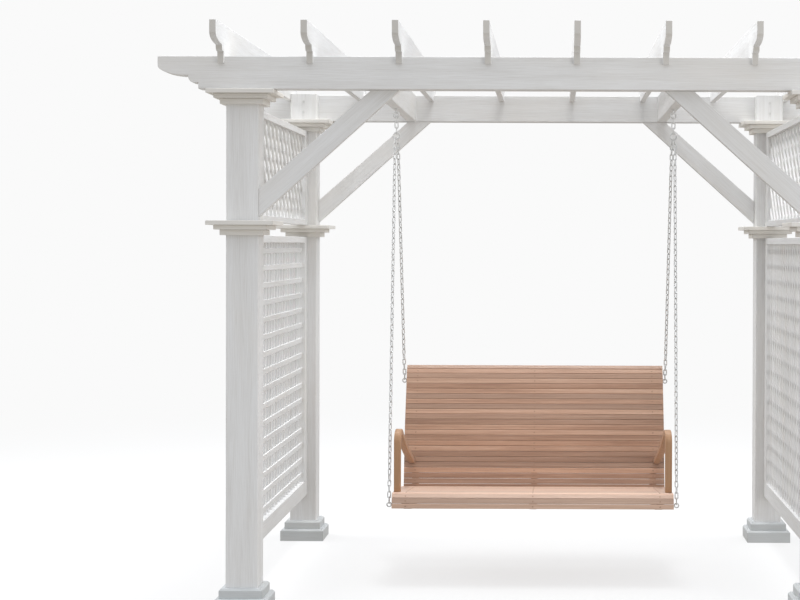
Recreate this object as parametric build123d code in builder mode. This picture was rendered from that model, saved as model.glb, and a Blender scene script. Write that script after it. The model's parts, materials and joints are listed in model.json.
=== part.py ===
from build123d import *
import math
import os

# A bench swing that hangs on chains inside a four-post pergola frame, in millimetres.
# X runs along the bench, -Y is the front, +Z is up, and the origin is on the ground
# under the middle of the four posts.

# --- Pergola: posts, beams and joists ---------------------------------------------
POST_SIZE = 140.0
POST_X = 1254.0  # post centre from the middle, sideways
POST_Y = 895.0  # post centre from the middle, front to back
BEAM_BOTTOM = 2262.0
BEAM_HEIGHT = 140.0
BEAM_TOP = BEAM_BOTTOM + BEAM_HEIGHT
BEAM_THICK = 89.0
BEAM_PROUD = 38.0  # how far a beam stands out of the post's face
BEAM_HALF_LENGTH = 1612.0
BEAM_OUTER_Y = POST_Y + POST_SIZE / 2 + BEAM_PROUD
BEAM_INNER_Y = BEAM_OUTER_Y - BEAM_THICK
EDGE_EASE = 3.0
# A decorative end is (nose height, scallop length and drop, cove length and drop, step).
BEAM_END = (39.0, (131.0, 44.0), (23.0, 30.0), 21.0)

JOIST_X = 680.0
JOIST_THICK = 50.0

BRACE_THICK = 38.0
BRACE_Y = 938.0
BRACE_POST_Z = (1712.0, 1833.0)  # lower and upper edge at the post
BRACE_BEAM_X = (575.0, 698.0)  # inner and outer edge under the beam

RAFTER_COUNT = 8
RAFTER_SPACING = 382.3
RAFTER_THICK = 28.0
RAFTER_HEIGHT = 165.0
RAFTER_NOTCH = 31.0
RAFTER_HALF_LENGTH = 1190.0
RAFTER_BOTTOM = BEAM_TOP - RAFTER_NOTCH
RAFTER_END = (52.0, (135.0, 38.0), (20.0, 26.0), 16.0)

# --- Pergola: collars and bases -----------------------------------------------------
# Each tier of a moulding is (overhang beyond the post, height), from the bottom up.
COLLAR_TIERS = ((23.0, 24.0), (46.0, 20.0), (75.0, 19.0))
COLLAR_HEIGHT = sum(height for _, height in COLLAR_TIERS)
MID_COLLAR_BOTTOM = 1633.0
CAPITAL_BOTTOM = BEAM_BOTTOM - COLLAR_HEIGHT
BASE_TIERS = ((45.0, 62.0), (25.0, 43.0))
BASE_BEVEL = 9.0
TIER_EASE = 2.0

# --- Pergola: side panels -------------------------------------------------------------
PANEL_THICK = 46.0
STILE_WIDTH = 90.0
LOWER_PANEL_Z = (245.0, MID_COLLAR_BOTTOM)
LOWER_RAILS = (80.0, 32.0)  # bottom and top rail heights
UPPER_PANEL_Z = (MID_COLLAR_BOTTOM + COLLAR_HEIGHT, CAPITAL_BOTTOM)
UPPER_RAILS = (30.0, 30.0)
PANEL_HALF_WIDTH = POST_Y - POST_SIZE / 2
OPENING_HALF_WIDTH = PANEL_HALF_WIDTH - STILE_WIDTH
SLAT_FACE = 24.0
SLAT_THICK = 9.0
SLAT_PITCH = 80.0

# --- Swing: hanging gear --------------------------------------------------------------
HANG_Y = 35.1  # straight above the bench's centre of mass
HANG_X = JOIST_X
EYE_WIRE = 8.0
EYE_RADIUS = 13.0
SWING_AXIS_Z = BEAM_BOTTOM - 45.0  # centre of the eye's bottom wire
EYE_CENTRE_Z = SWING_AXIS_Z + EYE_RADIUS
BOLT_DIAMETER = 10.0
BOLT_HOLE = 11.0
NUT_ACROSS = 17.0
NUT_HEIGHT = 8.0
WASHER_DIAMETER = 30.0
WASHER_THICK = 2.0
THREAD_END = 6.0

CHAIN_WIRE = 5.5
CHAIN_WIDTH = 8.0  # inside a link
CHAIN_PITCH = 26.2
CHAIN_TWIST = 45.0  # degrees that a long chain turns by, link after link from each end
TWIST_LINKS = 5
LINK_GAP = 0.3
DROP_WIDTH = 10.0  # inside the links that hang from the joist's eyes
DROP_PITCH = 26.0
PIVOT_GAP = 0.5  # kept where links turn about a wire
RING_WIRE = 6.5
RING_RADIUS = 16.5
RING_CENTRE_Z = 2128.0
CHAIN_SPREAD = 7.0  # each of the two chains hangs this far from the ring's middle
RING_DROP = math.sqrt(RING_RADIUS**2 - CHAIN_SPREAD**2)
TILT_AXIS_Z = RING_CENTRE_Z - RING_DROP  # centre of the ring's wire where the chains hang

# --- Swing: bench ---------------------------------------------------------------------
BENCH_SLAT_THICK = 18.0
BENCH_SLAT_PITCH = 27.0  # between slats, on the sitter's side
BENCH_SLAT_GAP = 0.8
BENCH_SLAT_EASE = 2.5
SEAT_HALF_LENGTH = 659.0
BACK_HALF_LENGTH = 651.0
# Headings are the slats' slopes in degrees above the horizontal, going backwards.
SEAT_START = (-399.0, 361.6)
SEAT_HEADINGS = [88, 76, 50, 4] + [-5] * 9 + [-6] * 5 + [-3] * 4
SEAT_PITCHES = [24.0, 26.0, 25.0] + [BENCH_SLAT_PITCH] * (len(SEAT_HEADINGS) - 3)
BACK_START = (151.2, 376.5)
BACK_HEADINGS = [82, 82, 81, 80, 79, 79, 78, 78, 77, 76, 74, 72, 70, 68, 67, 66, 66, 67, 68, 69, 69]
BACK_HEADINGS += [66, 56, 40]
BACK_PITCHES = [25.0] + [BENCH_SLAT_PITCH] * (len(BACK_HEADINGS) - 1)

RIB_X = 595.0
RIB_THICK = 32.0
SEAT_RIB_REAR_Y = 230.0
SEAT_RIB_BOTTOM = 308.0
SEAT_RIB_BELLY = (-122.0, 321.0)
BACK_RIB_DEPTH = 48.0
BACK_RIB_TIP_DEPTH = 22.0

ARM_WIDTH = 32.0
ARM_THICK = 28.0
ARM_X = 638.0  # at the leg
ARM_FOOT_Y = -326.0
ARM_TOP_Z = 722.0
ARM_BEND_RADIUS = 46.0
ARM_REAR = (174.0, 514.0)
ARM_FALL = 30.0  # degrees below level as it leaves the bend
ARM_SPLAY = 2.9  # the arm turns in towards the back by this many degrees
ARM_EASE = 5.0
ARM_BACK_SLAT = 5  # the back slat that the arm ends on
ARM_FOOT_CORNERS = (4, 5)  # the slat corners under its foot, counted from the front
ARM_CLEARANCE = 0.3

FRONT_EYE = (-352.0, 374.0)
REAR_EYE = (338.0, 902.0)
FRONT_EYE_X = 675.0
REAR_EYE_X = 663.5
BENCH_EYE_RADIUS = 10.0
BENCH_EYE_WIRE = 6.0
BENCH_BOLT = 8.0
BENCH_NUT_ACROSS = 13.0
BENCH_NUT_HEIGHT = 6.5

SCREW_HEAD = 7.0
SCREW_SHANK = 3.6
SCREW_HEAD_DEPTH = 2.6
SCREW_LENGTH = 36.0
SCREW_PROUD = 0.2
FRAME_SCREW_HEAD = 14.0
FRAME_SCREW_HEAD_HEIGHT = 4.0
FRAME_SCREW_SHANK = 7.0
RAFTER_SCREW_LENGTH = 200.0
POST_SCREW_LENGTH = 140.0
POST_SCREW_SHARES = (0.3, 0.7)  # how far up the beam they enter

SIDES = {"left": -1, "right": 1}
ENDS = {"front": -1, "rear": 1}


def finish(piece, label):
    """Label a finished piece and write its STEP file."""
    piece.part.label = label
    export_step(piece.part, f"parts/{label}.step")


# --- Pergola --------------------------------------------------------------------------
def make_post(x, y):
    """A square post, its top cut away on the outside to seat a beam."""
    sign = math.copysign(1, y)
    notch_depth = BEAM_THICK - BEAM_PROUD
    with BuildPart() as post:
        with BuildSketch():
            with Locations((x, y)):
                Rectangle(POST_SIZE, POST_SIZE)
        extrude(amount=BEAM_TOP)
        chamfer(post.edges().filter_by(Axis.Z), EDGE_EASE)
        with BuildSketch(Plane.XY.offset(BEAM_BOTTOM)):
            with Locations((x, y + sign * (POST_SIZE - notch_depth) / 2)):
                Rectangle(POST_SIZE, notch_depth)
        extrude(amount=BEAM_HEIGHT, mode=Mode.SUBTRACT)
    return post


def make_moulding(x, y, bottom, tiers, bevel):
    """Square tiers round a post, eased or bevelled on top."""
    with BuildPart() as moulding:
        level = bottom
        for overhang, height in tiers:
            width = POST_SIZE + 2 * overhang
            with BuildSketch(Plane.XY.offset(level)):
                with Locations((x, y)):
                    Rectangle(width, width)
            extrude(amount=height)
            level += height
            top = moulding.faces().filter_by(Axis.Z).group_by(Axis.Z)[-1]
            chamfer(top.edges(), bevel)
        with BuildSketch(Plane.XY.offset(bottom)):
            with Locations((x, y)):
                Rectangle(POST_SIZE, POST_SIZE)
        extrude(amount=level - bottom, mode=Mode.SUBTRACT)
    return moulding


def scalloped_outline(plane, half_length, bottom, top, nose, scallop, cove, step):
    """A timber's side with a scallop, a cove and a step cut under each end."""
    scallop_z = top - nose
    cove_z = scallop_z - scallop[1]
    step_z = cove_z - cove[1]
    cove_x = half_length - scallop[0]
    step_x = cove_x - cove[0]
    bottom_x = step_x - step
    with BuildSketch(plane) as outline:
        with BuildLine():
            Polyline((0, top), (half_length, top), (half_length, scallop_z))
            EllipticalCenterArc((cove_x, scallop_z), *scallop, start_angle=270, arc_size=90)
            EllipticalCenterArc((step_x, cove_z), *cove, start_angle=270, arc_size=90)
            Polyline((step_x, step_z), (bottom_x, step_z), (bottom_x, bottom), (0, bottom), (0, top))
        make_face()
        mirror(about=Plane.YZ)
    return outline.sketch


def make_beam(sign):
    """A long beam along X, seated in the outer notches of two posts."""
    middle = sign * (BEAM_OUTER_Y - BEAM_THICK / 2)
    plane = Plane(origin=(0, middle, 0), x_dir=(1, 0, 0), z_dir=(0, -1, 0))
    outline = scalloped_outline(plane, BEAM_HALF_LENGTH, BEAM_BOTTOM, BEAM_TOP, *BEAM_END)
    with BuildPart() as beam:
        extrude(outline, amount=BEAM_THICK / 2, both=True)
    return beam


def make_rafter(x):
    """A rafter along Y, notched over both beams."""
    plane = Plane(origin=(x, 0, 0), x_dir=(0, 1, 0), z_dir=(1, 0, 0))
    top = RAFTER_BOTTOM + RAFTER_HEIGHT
    outline = scalloped_outline(plane, RAFTER_HALF_LENGTH, RAFTER_BOTTOM, top, *RAFTER_END)
    beam_middle = BEAM_OUTER_Y - BEAM_THICK / 2
    with BuildPart() as rafter:
        extrude(outline, amount=RAFTER_THICK / 2, both=True)
        with BuildSketch(Plane.XY.offset(RAFTER_BOTTOM)):
            with Locations((x, -beam_middle), (x, beam_middle)):
                Rectangle(RAFTER_THICK, BEAM_THICK)
        extrude(amount=RAFTER_NOTCH, mode=Mode.SUBTRACT)
    return rafter


def make_joist(sign):
    """A joist between the beams, drilled for the eye bolt that carries the swing."""
    with BuildPart() as joist:
        with BuildSketch(Plane.XY.offset(BEAM_BOTTOM)):
            with Locations((sign * JOIST_X, 0)):
                Rectangle(JOIST_THICK, 2 * BEAM_INNER_Y)
        extrude(amount=BEAM_HEIGHT)
        chamfer(joist.edges().filter_by(Axis.Y), EDGE_EASE)
        with Locations((sign * HANG_X, HANG_Y, BEAM_TOP)):
            Hole(BOLT_HOLE / 2, depth=BEAM_HEIGHT)
    return joist


def make_brace(side, end):
    """A slanted knee brace from a post up to the beam."""
    post_x = POST_X - POST_SIZE / 2
    plane = Plane(origin=(0, end * BRACE_Y, 0), x_dir=(1, 0, 0), z_dir=(0, -1, 0))
    with BuildPart() as brace:
        with BuildSketch(plane):
            with BuildLine():
                Polyline(
                    (side * post_x, BRACE_POST_Z[0]),
                    (side * post_x, BRACE_POST_Z[1]),
                    (side * BRACE_BEAM_X[1], BEAM_BOTTOM),
                    (side * BRACE_BEAM_X[0], BEAM_BOTTOM),
                    close=True,
                )
            make_face()
        extrude(amount=BRACE_THICK / 2, both=True)
    return brace


def make_panel_frame(side, panel_z, rails):
    """Two stiles and two rails, as four boards that meet at butt joints."""
    low, high = panel_z
    rail_length = 2 * OPENING_HALF_WIDTH
    stile_y = OPENING_HALF_WIDTH + STILE_WIDTH / 2
    plane = Plane(origin=(side * POST_X, 0, 0), x_dir=(0, 1, 0), z_dir=(1, 0, 0))
    with BuildPart() as frame:
        with BuildSketch(plane):
            with Locations((-stile_y, (low + high) / 2), (stile_y, (low + high) / 2)):
                Rectangle(STILE_WIDTH, high - low)
        extrude(amount=PANEL_THICK / 2, both=True)
    with BuildPart() as rail_boards:
        with BuildSketch(plane):
            with Locations((0, low + rails[0] / 2)):
                Rectangle(rail_length, rails[0])
            with Locations((0, high - rails[1] / 2)):
                Rectangle(rail_length, rails[1])
        extrude(amount=PANEL_THICK / 2, both=True)
    frame.part = Part(children=[*frame.part.solids(), *rail_boards.part.solids()])
    return frame


def opening(panel_z, rails):
    """The bottom and top of the space inside a panel frame."""
    return panel_z[0] + rails[0], panel_z[1] - rails[1]


def slat_centres(low, high, pitch):
    """Evenly pitched places between two limits, the same distance from both."""
    count = int((high - low - pitch / 2) // pitch) + 1
    start = (low + high - (count - 1) * pitch) / 2
    return [start + i * pitch for i in range(count)]


def make_square_lattice(side):
    """Upright slats with level slats laid on their +X faces."""
    low, high = opening(LOWER_PANEL_Z, LOWER_RAILS)
    upright_plane = Plane(origin=(side * POST_X - SLAT_THICK, 0, 0), x_dir=(0, 1, 0), z_dir=(1, 0, 0))
    level_plane = Plane(origin=(side * POST_X, 0, 0), x_dir=(0, 1, 0), z_dir=(1, 0, 0))
    with BuildPart() as uprights:
        with BuildSketch(upright_plane):
            places = slat_centres(-OPENING_HALF_WIDTH, OPENING_HALF_WIDTH, SLAT_PITCH)
            with Locations(*[(y, (low + high) / 2) for y in places]):
                Rectangle(SLAT_FACE, high - low)
        extrude(amount=SLAT_THICK)
    with BuildPart() as levels:
        with BuildSketch(level_plane):
            with Locations(*[(0, z) for z in slat_centres(low, high, SLAT_PITCH)]):
                Rectangle(2 * OPENING_HALF_WIDTH, SLAT_FACE)
        extrude(amount=SLAT_THICK)
    uprights.part = Part(children=[*uprights.part.solids(), *levels.part.solids()])
    return uprights


def make_diagonal_layer(side, angle, base_x):
    """One layer of slats that cross the upper opening at an angle."""
    low, high = opening(UPPER_PANEL_Z, UPPER_RAILS)
    middle = (low + high) / 2
    reach = OPENING_HALF_WIDTH + (high - low)
    plane = Plane(origin=(base_x, 0, middle), x_dir=(0, 1, 0), z_dir=(1, 0, 0))
    step = SLAT_PITCH / math.cos(math.radians(45))
    count = int(reach // step)
    with BuildPart() as layer:
        with BuildSketch(plane):
            with Locations(*[Location((i * step, 0), angle) for i in range(-count, count + 1)]):
                Rectangle(2 * (high - low), SLAT_FACE)
            Rectangle(2 * OPENING_HALF_WIDTH, high - low, mode=Mode.INTERSECT)
        extrude(amount=SLAT_THICK)
    return layer


def make_diagonal_lattice(side):
    """Two crossing layers of diagonal slats, face to face."""
    back = make_diagonal_layer(side, 45, side * POST_X - SLAT_THICK)
    front = make_diagonal_layer(side, -45, side * POST_X)
    back.part = Part(children=[*back.part.solids(), *front.part.solids()])
    return back


def make_pergola():
    """Build and write every piece of the standing frame."""
    for end_name, end in ENDS.items():
        finish(make_beam(end), f"{end_name}_beam")
        for side_name, side in SIDES.items():
            place = (side * POST_X, end * POST_Y)
            name = f"{end_name}_{side_name}"
            finish(make_post(*place), f"post_{name}")
            finish(make_moulding(*place, 0, BASE_TIERS, BASE_BEVEL), f"base_{name}")
            finish(make_moulding(*place, MID_COLLAR_BOTTOM, COLLAR_TIERS, TIER_EASE), f"collar_{name}")
            finish(make_moulding(*place, CAPITAL_BOTTOM, COLLAR_TIERS, TIER_EASE), f"capital_{name}")
            finish(make_brace(side, end), f"brace_{name}")
    for i in range(RAFTER_COUNT):
        finish(make_rafter((i - (RAFTER_COUNT - 1) / 2) * RAFTER_SPACING), f"rafter_{i + 1}")
    for side_name, side in SIDES.items():
        finish(make_joist(side), f"swing_joist_{side_name}")
        finish(make_panel_frame(side, LOWER_PANEL_Z, LOWER_RAILS), f"lower_frame_{side_name}")
        finish(make_panel_frame(side, UPPER_PANEL_Z, UPPER_RAILS), f"upper_frame_{side_name}")
        finish(make_square_lattice(side), f"lower_lattice_{side_name}")
        finish(make_diagonal_lattice(side), f"upper_lattice_{side_name}")


# --- Fasteners of the frame -----------------------------------------------------------
def make_hex_nut(place):
    """A hexagonal nut, bored for its bolt."""
    with BuildPart() as nut:
        with BuildSketch(place):
            RegularPolygon(NUT_ACROSS / 2, 6, major_radius=False)
            Circle(BOLT_DIAMETER / 2, mode=Mode.SUBTRACT)
        extrude(amount=NUT_HEIGHT)
    return nut.part


def make_washer(place):
    """A flat round washer."""
    with BuildPart() as washer:
        with BuildSketch(place):
            Circle(WASHER_DIAMETER / 2)
            Circle(BOLT_DIAMETER / 2, mode=Mode.SUBTRACT)
        extrude(amount=WASHER_THICK)
    return washer.part


def make_joist_eye_bolts():
    """An eye bolt up through each joist, held by a nut and a washer on either side."""
    pieces = []
    shank_bottom = EYE_CENTRE_Z + EYE_RADIUS
    shank_top = BEAM_TOP + WASHER_THICK + NUT_HEIGHT + THREAD_END
    for side in SIDES.values():
        x = side * HANG_X
        with BuildPart() as bolt:
            with BuildSketch(Plane(origin=(x, HANG_Y, EYE_CENTRE_Z), x_dir=(0, 1, 0), z_dir=(1, 0, 0))):
                with Locations((0, EYE_RADIUS)):
                    Circle(EYE_WIRE / 2)
            revolve(axis=Axis((x, HANG_Y, EYE_CENTRE_Z), (0, 1, 0)))
            with BuildSketch(Plane.XY.offset(shank_bottom)):
                with Locations((x, HANG_Y)):
                    Circle(BOLT_DIAMETER / 2)
            extrude(amount=shank_top - shank_bottom)
        pieces.append(bolt.part)
        pieces.append(make_washer(Plane(origin=(x, HANG_Y, BEAM_TOP))))
        pieces.append(make_hex_nut(Plane(origin=(x, HANG_Y, BEAM_TOP + WASHER_THICK))))
        pieces.append(make_washer(Plane(origin=(x, HANG_Y, BEAM_BOTTOM - WASHER_THICK))))
    return group(pieces)


def make_frame_screws():
    """Timber screws down through the rafters, and through the posts into the beams."""
    beam_middle = BEAM_OUTER_Y - BEAM_THICK / 2
    rafter_top = RAFTER_BOTTOM + RAFTER_HEIGHT
    rafter_xs = [(i - (RAFTER_COUNT - 1) / 2) * RAFTER_SPACING for i in range(RAFTER_COUNT)]
    down = Plane.XY.offset(rafter_top)
    groups = [(down, [(x, y) for x in rafter_xs for y in (-beam_middle, beam_middle)], RAFTER_SCREW_LENGTH)]
    heights = [BEAM_BOTTOM + share * BEAM_HEIGHT for share in POST_SCREW_SHARES]
    for end in ENDS.values():
        face = Plane(origin=(0, end * PANEL_HALF_WIDTH, 0), x_dir=(1, 0, 0), z_dir=(0, -end, 0))
        spots = [(side * POST_X, end * z) for side in SIDES.values() for z in heights]
        groups.append((face, spots, POST_SCREW_LENGTH))
    with BuildPart() as screws:
        for plane, spots, length in groups:
            with BuildSketch(plane):
                with Locations(*spots):
                    Circle(FRAME_SCREW_HEAD / 2)
            extrude(amount=FRAME_SCREW_HEAD_HEIGHT)
            with BuildSketch(plane):
                with Locations(*spots):
                    Circle(FRAME_SCREW_SHANK / 2)
            extrude(amount=-length)
    return screws


# --- Chains and rings -----------------------------------------------------------------
def group(pieces):
    """Several separate solids that are written together as one node."""
    with BuildPart() as holder:
        add(pieces[0])
    holder.part = Part(children=[solid for piece in pieces for solid in piece.solids()])
    return holder


def make_link(inner_length, inner_width):
    """One round-wire link standing along Z, flat in the XZ plane."""
    half = (inner_length - inner_width) / 2
    radius = (inner_width + CHAIN_WIRE) / 2
    with BuildPart() as link:
        with BuildLine(Plane.XZ):
            Line((radius, -half), (radius, half))
            CenterArc((0, half), radius, 0, 180)
            Line((-radius, half), (-radius, -half))
            CenterArc((0, -half), radius, 180, 180)
        with BuildSketch(Plane.XY):
            with Locations((radius, 0)):
                Circle(CHAIN_WIRE / 2)
        sweep()
    return link.part


def chain_links(top, bottom, reaches, pitch, inner_width, twist):
    """Links hung in a straight line between two wires, every other one turned a quarter.

    A reach is how far past its wire's centre the end link's own wire lies. The twist is
    reached a few links in from each end.
    """
    top_reach, bottom_reach = reaches
    start, end = Vector(*top), Vector(*bottom)
    along = (end - start).normalized()
    span = (end - start).length + top_reach + bottom_reach - CHAIN_WIRE
    count = 2 * round((span / pitch - 1) / 2) + 1
    inner_length = (span + (count - 1) * LINK_GAP) / count
    link = make_link(inner_length, inner_width)
    first = start + along * ((inner_length + CHAIN_WIRE) / 2 - top_reach)
    across = along.cross(Vector(1, 0, 0))
    links = []
    for i in range(count):
        turned = twist * min(i, count - 1 - i, TWIST_LINKS) / TWIST_LINKS
        x_dir = across.rotate(Axis((0, 0, 0), along), 90 * (i % 2) + turned)
        place = Plane(origin=first + along * (i * (inner_length - LINK_GAP)), x_dir=x_dir, z_dir=along)
        links.append(place.location * link)
    return links


def make_ring(side):
    """The ring that gathers two chains, standing in the XZ plane."""
    centre = (side * HANG_X, HANG_Y, RING_CENTRE_Z)
    with BuildPart() as ring:
        with BuildSketch(Plane(origin=centre, x_dir=(0, 1, 0), z_dir=(1, 0, 0))):
            with Locations((0, RING_RADIUS)):
                Circle(RING_WIRE / 2)
        revolve(axis=Axis(centre, (0, 1, 0)))
    return ring.part


def make_hanger(side):
    """The short drop of links under a joist, and the ring at its end."""
    reach = (EYE_WIRE + CHAIN_WIRE) / 2 + PIVOT_GAP
    ring_reach = (RING_WIRE + CHAIN_WIRE) / 2 + LINK_GAP
    top = (side * HANG_X, HANG_Y, SWING_AXIS_Z)
    bottom = (side * HANG_X, HANG_Y, RING_CENTRE_Z + RING_RADIUS)
    links = chain_links(top, bottom, (reach, ring_reach), DROP_PITCH, DROP_WIDTH, 0)
    return group([*links, make_ring(side)])


def make_chain(side, eye_x, eye, spread):
    """A long chain from the ring down to an eye on the bench."""
    centre_line = RING_RADIUS - RING_WIRE / 2 - PIVOT_GAP - CHAIN_WIRE / 2
    ring_reach = RING_DROP - math.sqrt(centre_line**2 - CHAIN_SPREAD**2)
    eye_reach = (BENCH_EYE_WIRE + CHAIN_WIRE) / 2 + LINK_GAP
    top = (side * (HANG_X + spread), HANG_Y, TILT_AXIS_Z)
    bottom = (side * eye_x, eye[0], eye[1] + BENCH_EYE_RADIUS)
    reaches = (ring_reach, eye_reach)
    return group(chain_links(top, bottom, reaches, CHAIN_PITCH, CHAIN_WIDTH, side * CHAIN_TWIST))


# --- Bench ----------------------------------------------------------------------------
def walk(start, headings, pitches):
    """The corners of a chain of slat faces on the sitter's side."""
    points = [start]
    for heading, pitch in zip(headings, pitches):
        y, z = points[-1]
        angle = math.radians(heading)
        points.append((y + pitch * math.cos(angle), z + pitch * math.sin(angle)))
    return points


def undersides(points, headings):
    """The matching corners of the slats' undersides, where their bevelled sides meet."""
    corners = []
    for i, (y, z) in enumerate(points):
        before = math.radians(headings[max(i - 1, 0)])
        after = math.radians(headings[min(i, len(headings) - 1)])
        middle = (before + after) / 2
        depth = BENCH_SLAT_THICK / math.cos((after - before) / 2)
        corners.append((y + depth * math.sin(middle), z - depth * math.cos(middle)))
    return corners


SEAT_FACES = walk(SEAT_START, SEAT_HEADINGS, SEAT_PITCHES)
SEAT_POINTS = undersides(SEAT_FACES, SEAT_HEADINGS)
BACK_FACES = walk(BACK_START, BACK_HEADINGS, BACK_PITCHES)
BACK_POINTS = undersides(BACK_FACES, BACK_HEADINGS)


def off_underside(points, headings, index, share, height):
    """A point that lies a share of the way along a slat and some height off its underside."""
    y, z = points[index]
    angle = math.radians(headings[index])
    along = math.dist(points[index], points[index + 1]) * share
    return (
        y + along * math.cos(angle) - height * math.sin(angle),
        z + along * math.sin(angle) + height * math.cos(angle),
    )


def make_slats(faces, points, headings, half_length):
    """Parallel slats, one on each stretch of the rib's edge, bevelled to fit their neighbours."""
    with BuildPart() as slats:
        for i, heading in enumerate(headings):
            gap = Vector(BENCH_SLAT_GAP / 2, 0).rotate(Axis.Z, heading)
            starts = [Vector(*corner) + gap for corner in (faces[i], points[i])]
            ends = [Vector(*corner) - gap for corner in (points[i + 1], faces[i + 1])]
            with BuildSketch(Plane.YZ) as section:
                Polygon(*starts, *ends, align=None)
                fillet(section.vertices(), BENCH_SLAT_EASE)
            extrude(amount=half_length, both=True)
    return slats


def make_seat_rib(x):
    """A sawn rib under the seat, flat-topped at the rear where the back stands."""
    rear_top = (SEAT_RIB_REAR_Y, SEAT_POINTS[-1][1])
    rear_bottom = (SEAT_RIB_REAR_Y, SEAT_RIB_BOTTOM)
    with BuildPart() as rib:
        with BuildSketch(Plane.YZ.offset(x)):
            with BuildLine():
                Polyline(*SEAT_POINTS, rear_top, rear_bottom)
                ThreePointArc(rear_bottom, SEAT_RIB_BELLY, SEAT_POINTS[0])
            make_face()
        extrude(amount=RIB_THICK / 2, both=True)
        with Locations(Plane(origin=(x, *FRONT_EYE), z_dir=(1, 0, 0))):
            Cylinder(BENCH_BOLT / 2 + 0.5, RIB_THICK * 2, mode=Mode.SUBTRACT)
    return rib


def make_back_rib(x):
    """A sawn rib behind the back that stands on the seat rib."""
    count = len(BACK_HEADINGS)
    foot_z = SEAT_POINTS[-1][1]
    foot = (BACK_POINTS[0][0], foot_z)
    rear = []
    for i in range(0, count, 4):
        depth = BACK_RIB_DEPTH + (BACK_RIB_TIP_DEPTH - BACK_RIB_DEPTH) * (i / count) ** 2
        rear.append(off_underside(BACK_POINTS, BACK_HEADINGS, i, 0, -depth))
    rear.append(off_underside(BACK_POINTS, BACK_HEADINGS, count - 1, 0.9, -BACK_RIB_TIP_DEPTH))
    with BuildPart() as rib:
        with BuildSketch(Plane.YZ.offset(x)):
            with BuildLine():
                Polyline(rear[-1], *reversed(BACK_POINTS), foot)
                Polyline(foot, (SEAT_RIB_REAR_Y, foot_z), rear[0])
                Spline(*rear)
            make_face()
        extrude(amount=RIB_THICK / 2, both=True)
        with Locations(Plane(origin=(x, *REAR_EYE), z_dir=(1, 0, 0))):
            Cylinder(BENCH_BOLT / 2 + 0.5, RIB_THICK * 2, mode=Mode.SUBTRACT)
    return rib


def make_arm(side):
    """A bent strip that rises from the seat, arches over and runs down to the back."""
    splay = math.radians(ARM_SPLAY)
    backwards = (-side * math.sin(splay), math.cos(splay), 0)
    sideways = (math.cos(splay), side * math.sin(splay), 0)
    plane = Plane(origin=(side * ARM_X, ARM_FOOT_Y, 0), x_dir=backwards, z_dir=sideways)
    top = ARM_TOP_Z - ARM_THICK / 2
    fall = math.radians(ARM_FALL)
    bend_end = (
        ARM_BEND_RADIUS * (1 + math.sin(fall)),
        top - ARM_BEND_RADIUS * (1 - math.cos(fall)),
    )
    run = (ARM_REAR[0] - ARM_FOOT_Y - bend_end[0], ARM_REAR[1] - bend_end[1])
    sag = fall + math.atan2(run[1], run[0])
    sag_radius = math.hypot(*run) / (2 * math.sin(sag))
    seat_top = max(SEAT_FACES[i][1] for i in ARM_FOOT_CORNERS)
    with BuildPart() as arm:
        with BuildLine(plane):
            leg = Line((0, seat_top + ARM_CLEARANCE), (0, top - ARM_BEND_RADIUS))
            bend = JernArc(leg @ 1, leg % 1, ARM_BEND_RADIUS, -90 - ARM_FALL)
            JernArc(bend @ 1, bend % 1, sag_radius, 2 * math.degrees(sag) + 1)
        foot = (side * ARM_X, ARM_FOOT_Y, seat_top + ARM_CLEARANCE)
        with BuildSketch(Plane(origin=foot, x_dir=sideways, z_dir=(0, 0, 1))):
            RectangleRounded(ARM_WIDTH, ARM_THICK, ARM_EASE)
        sweep()
        index = ARM_BACK_SLAT
        front = off_underside(BACK_POINTS, BACK_HEADINGS, index, 0.5, BENCH_SLAT_THICK + ARM_CLEARANCE)
        angle = math.radians(BACK_HEADINGS[index])
        face = Plane(origin=(0, *front), x_dir=(1, 0, 0), z_dir=(0, -math.sin(angle), math.cos(angle)))
        split(bisect_by=face, keep=Keep.TOP)
    return arm


def make_bench_eye_bolts():
    """Eye bolts out through the outer ribs, front and rear, with their nuts."""
    pieces = []
    for side in SIDES.values():
        for eye, eye_x in ((FRONT_EYE, FRONT_EYE_X), (REAR_EYE, REAR_EYE_X)):
            centre = (side * eye_x, *eye)
            inner_x = RIB_X - RIB_THICK / 2
            shank_start = eye_x - BENCH_EYE_RADIUS
            shank_length = shank_start - inner_x + BENCH_NUT_HEIGHT + THREAD_END
            with BuildPart() as bolt:
                with BuildSketch(Plane(origin=centre, x_dir=(0, 1, 0), z_dir=(1, 0, 0))):
                    with Locations((0, BENCH_EYE_RADIUS)):
                        Circle(BENCH_EYE_WIRE / 2)
                revolve(axis=Axis(centre, (0, 1, 0)))
                with BuildSketch(Plane(origin=(side * shank_start, *eye), z_dir=(-side, 0, 0))):
                    Circle(BENCH_BOLT / 2)
                extrude(amount=shank_length)
            pieces.append(bolt.part)
            with BuildPart() as nuts:
                for nut_x, direction in ((inner_x, -side), (RIB_X + RIB_THICK / 2, side)):
                    with BuildSketch(Plane(origin=(side * nut_x, *eye), z_dir=(direction, 0, 0))):
                        RegularPolygon(BENCH_NUT_ACROSS / 2, 6, major_radius=False)
                        Circle(BENCH_BOLT / 2, mode=Mode.SUBTRACT)
                    extrude(amount=BENCH_NUT_HEIGHT)
            pieces.append(nuts.part)
    return group(pieces)


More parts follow.
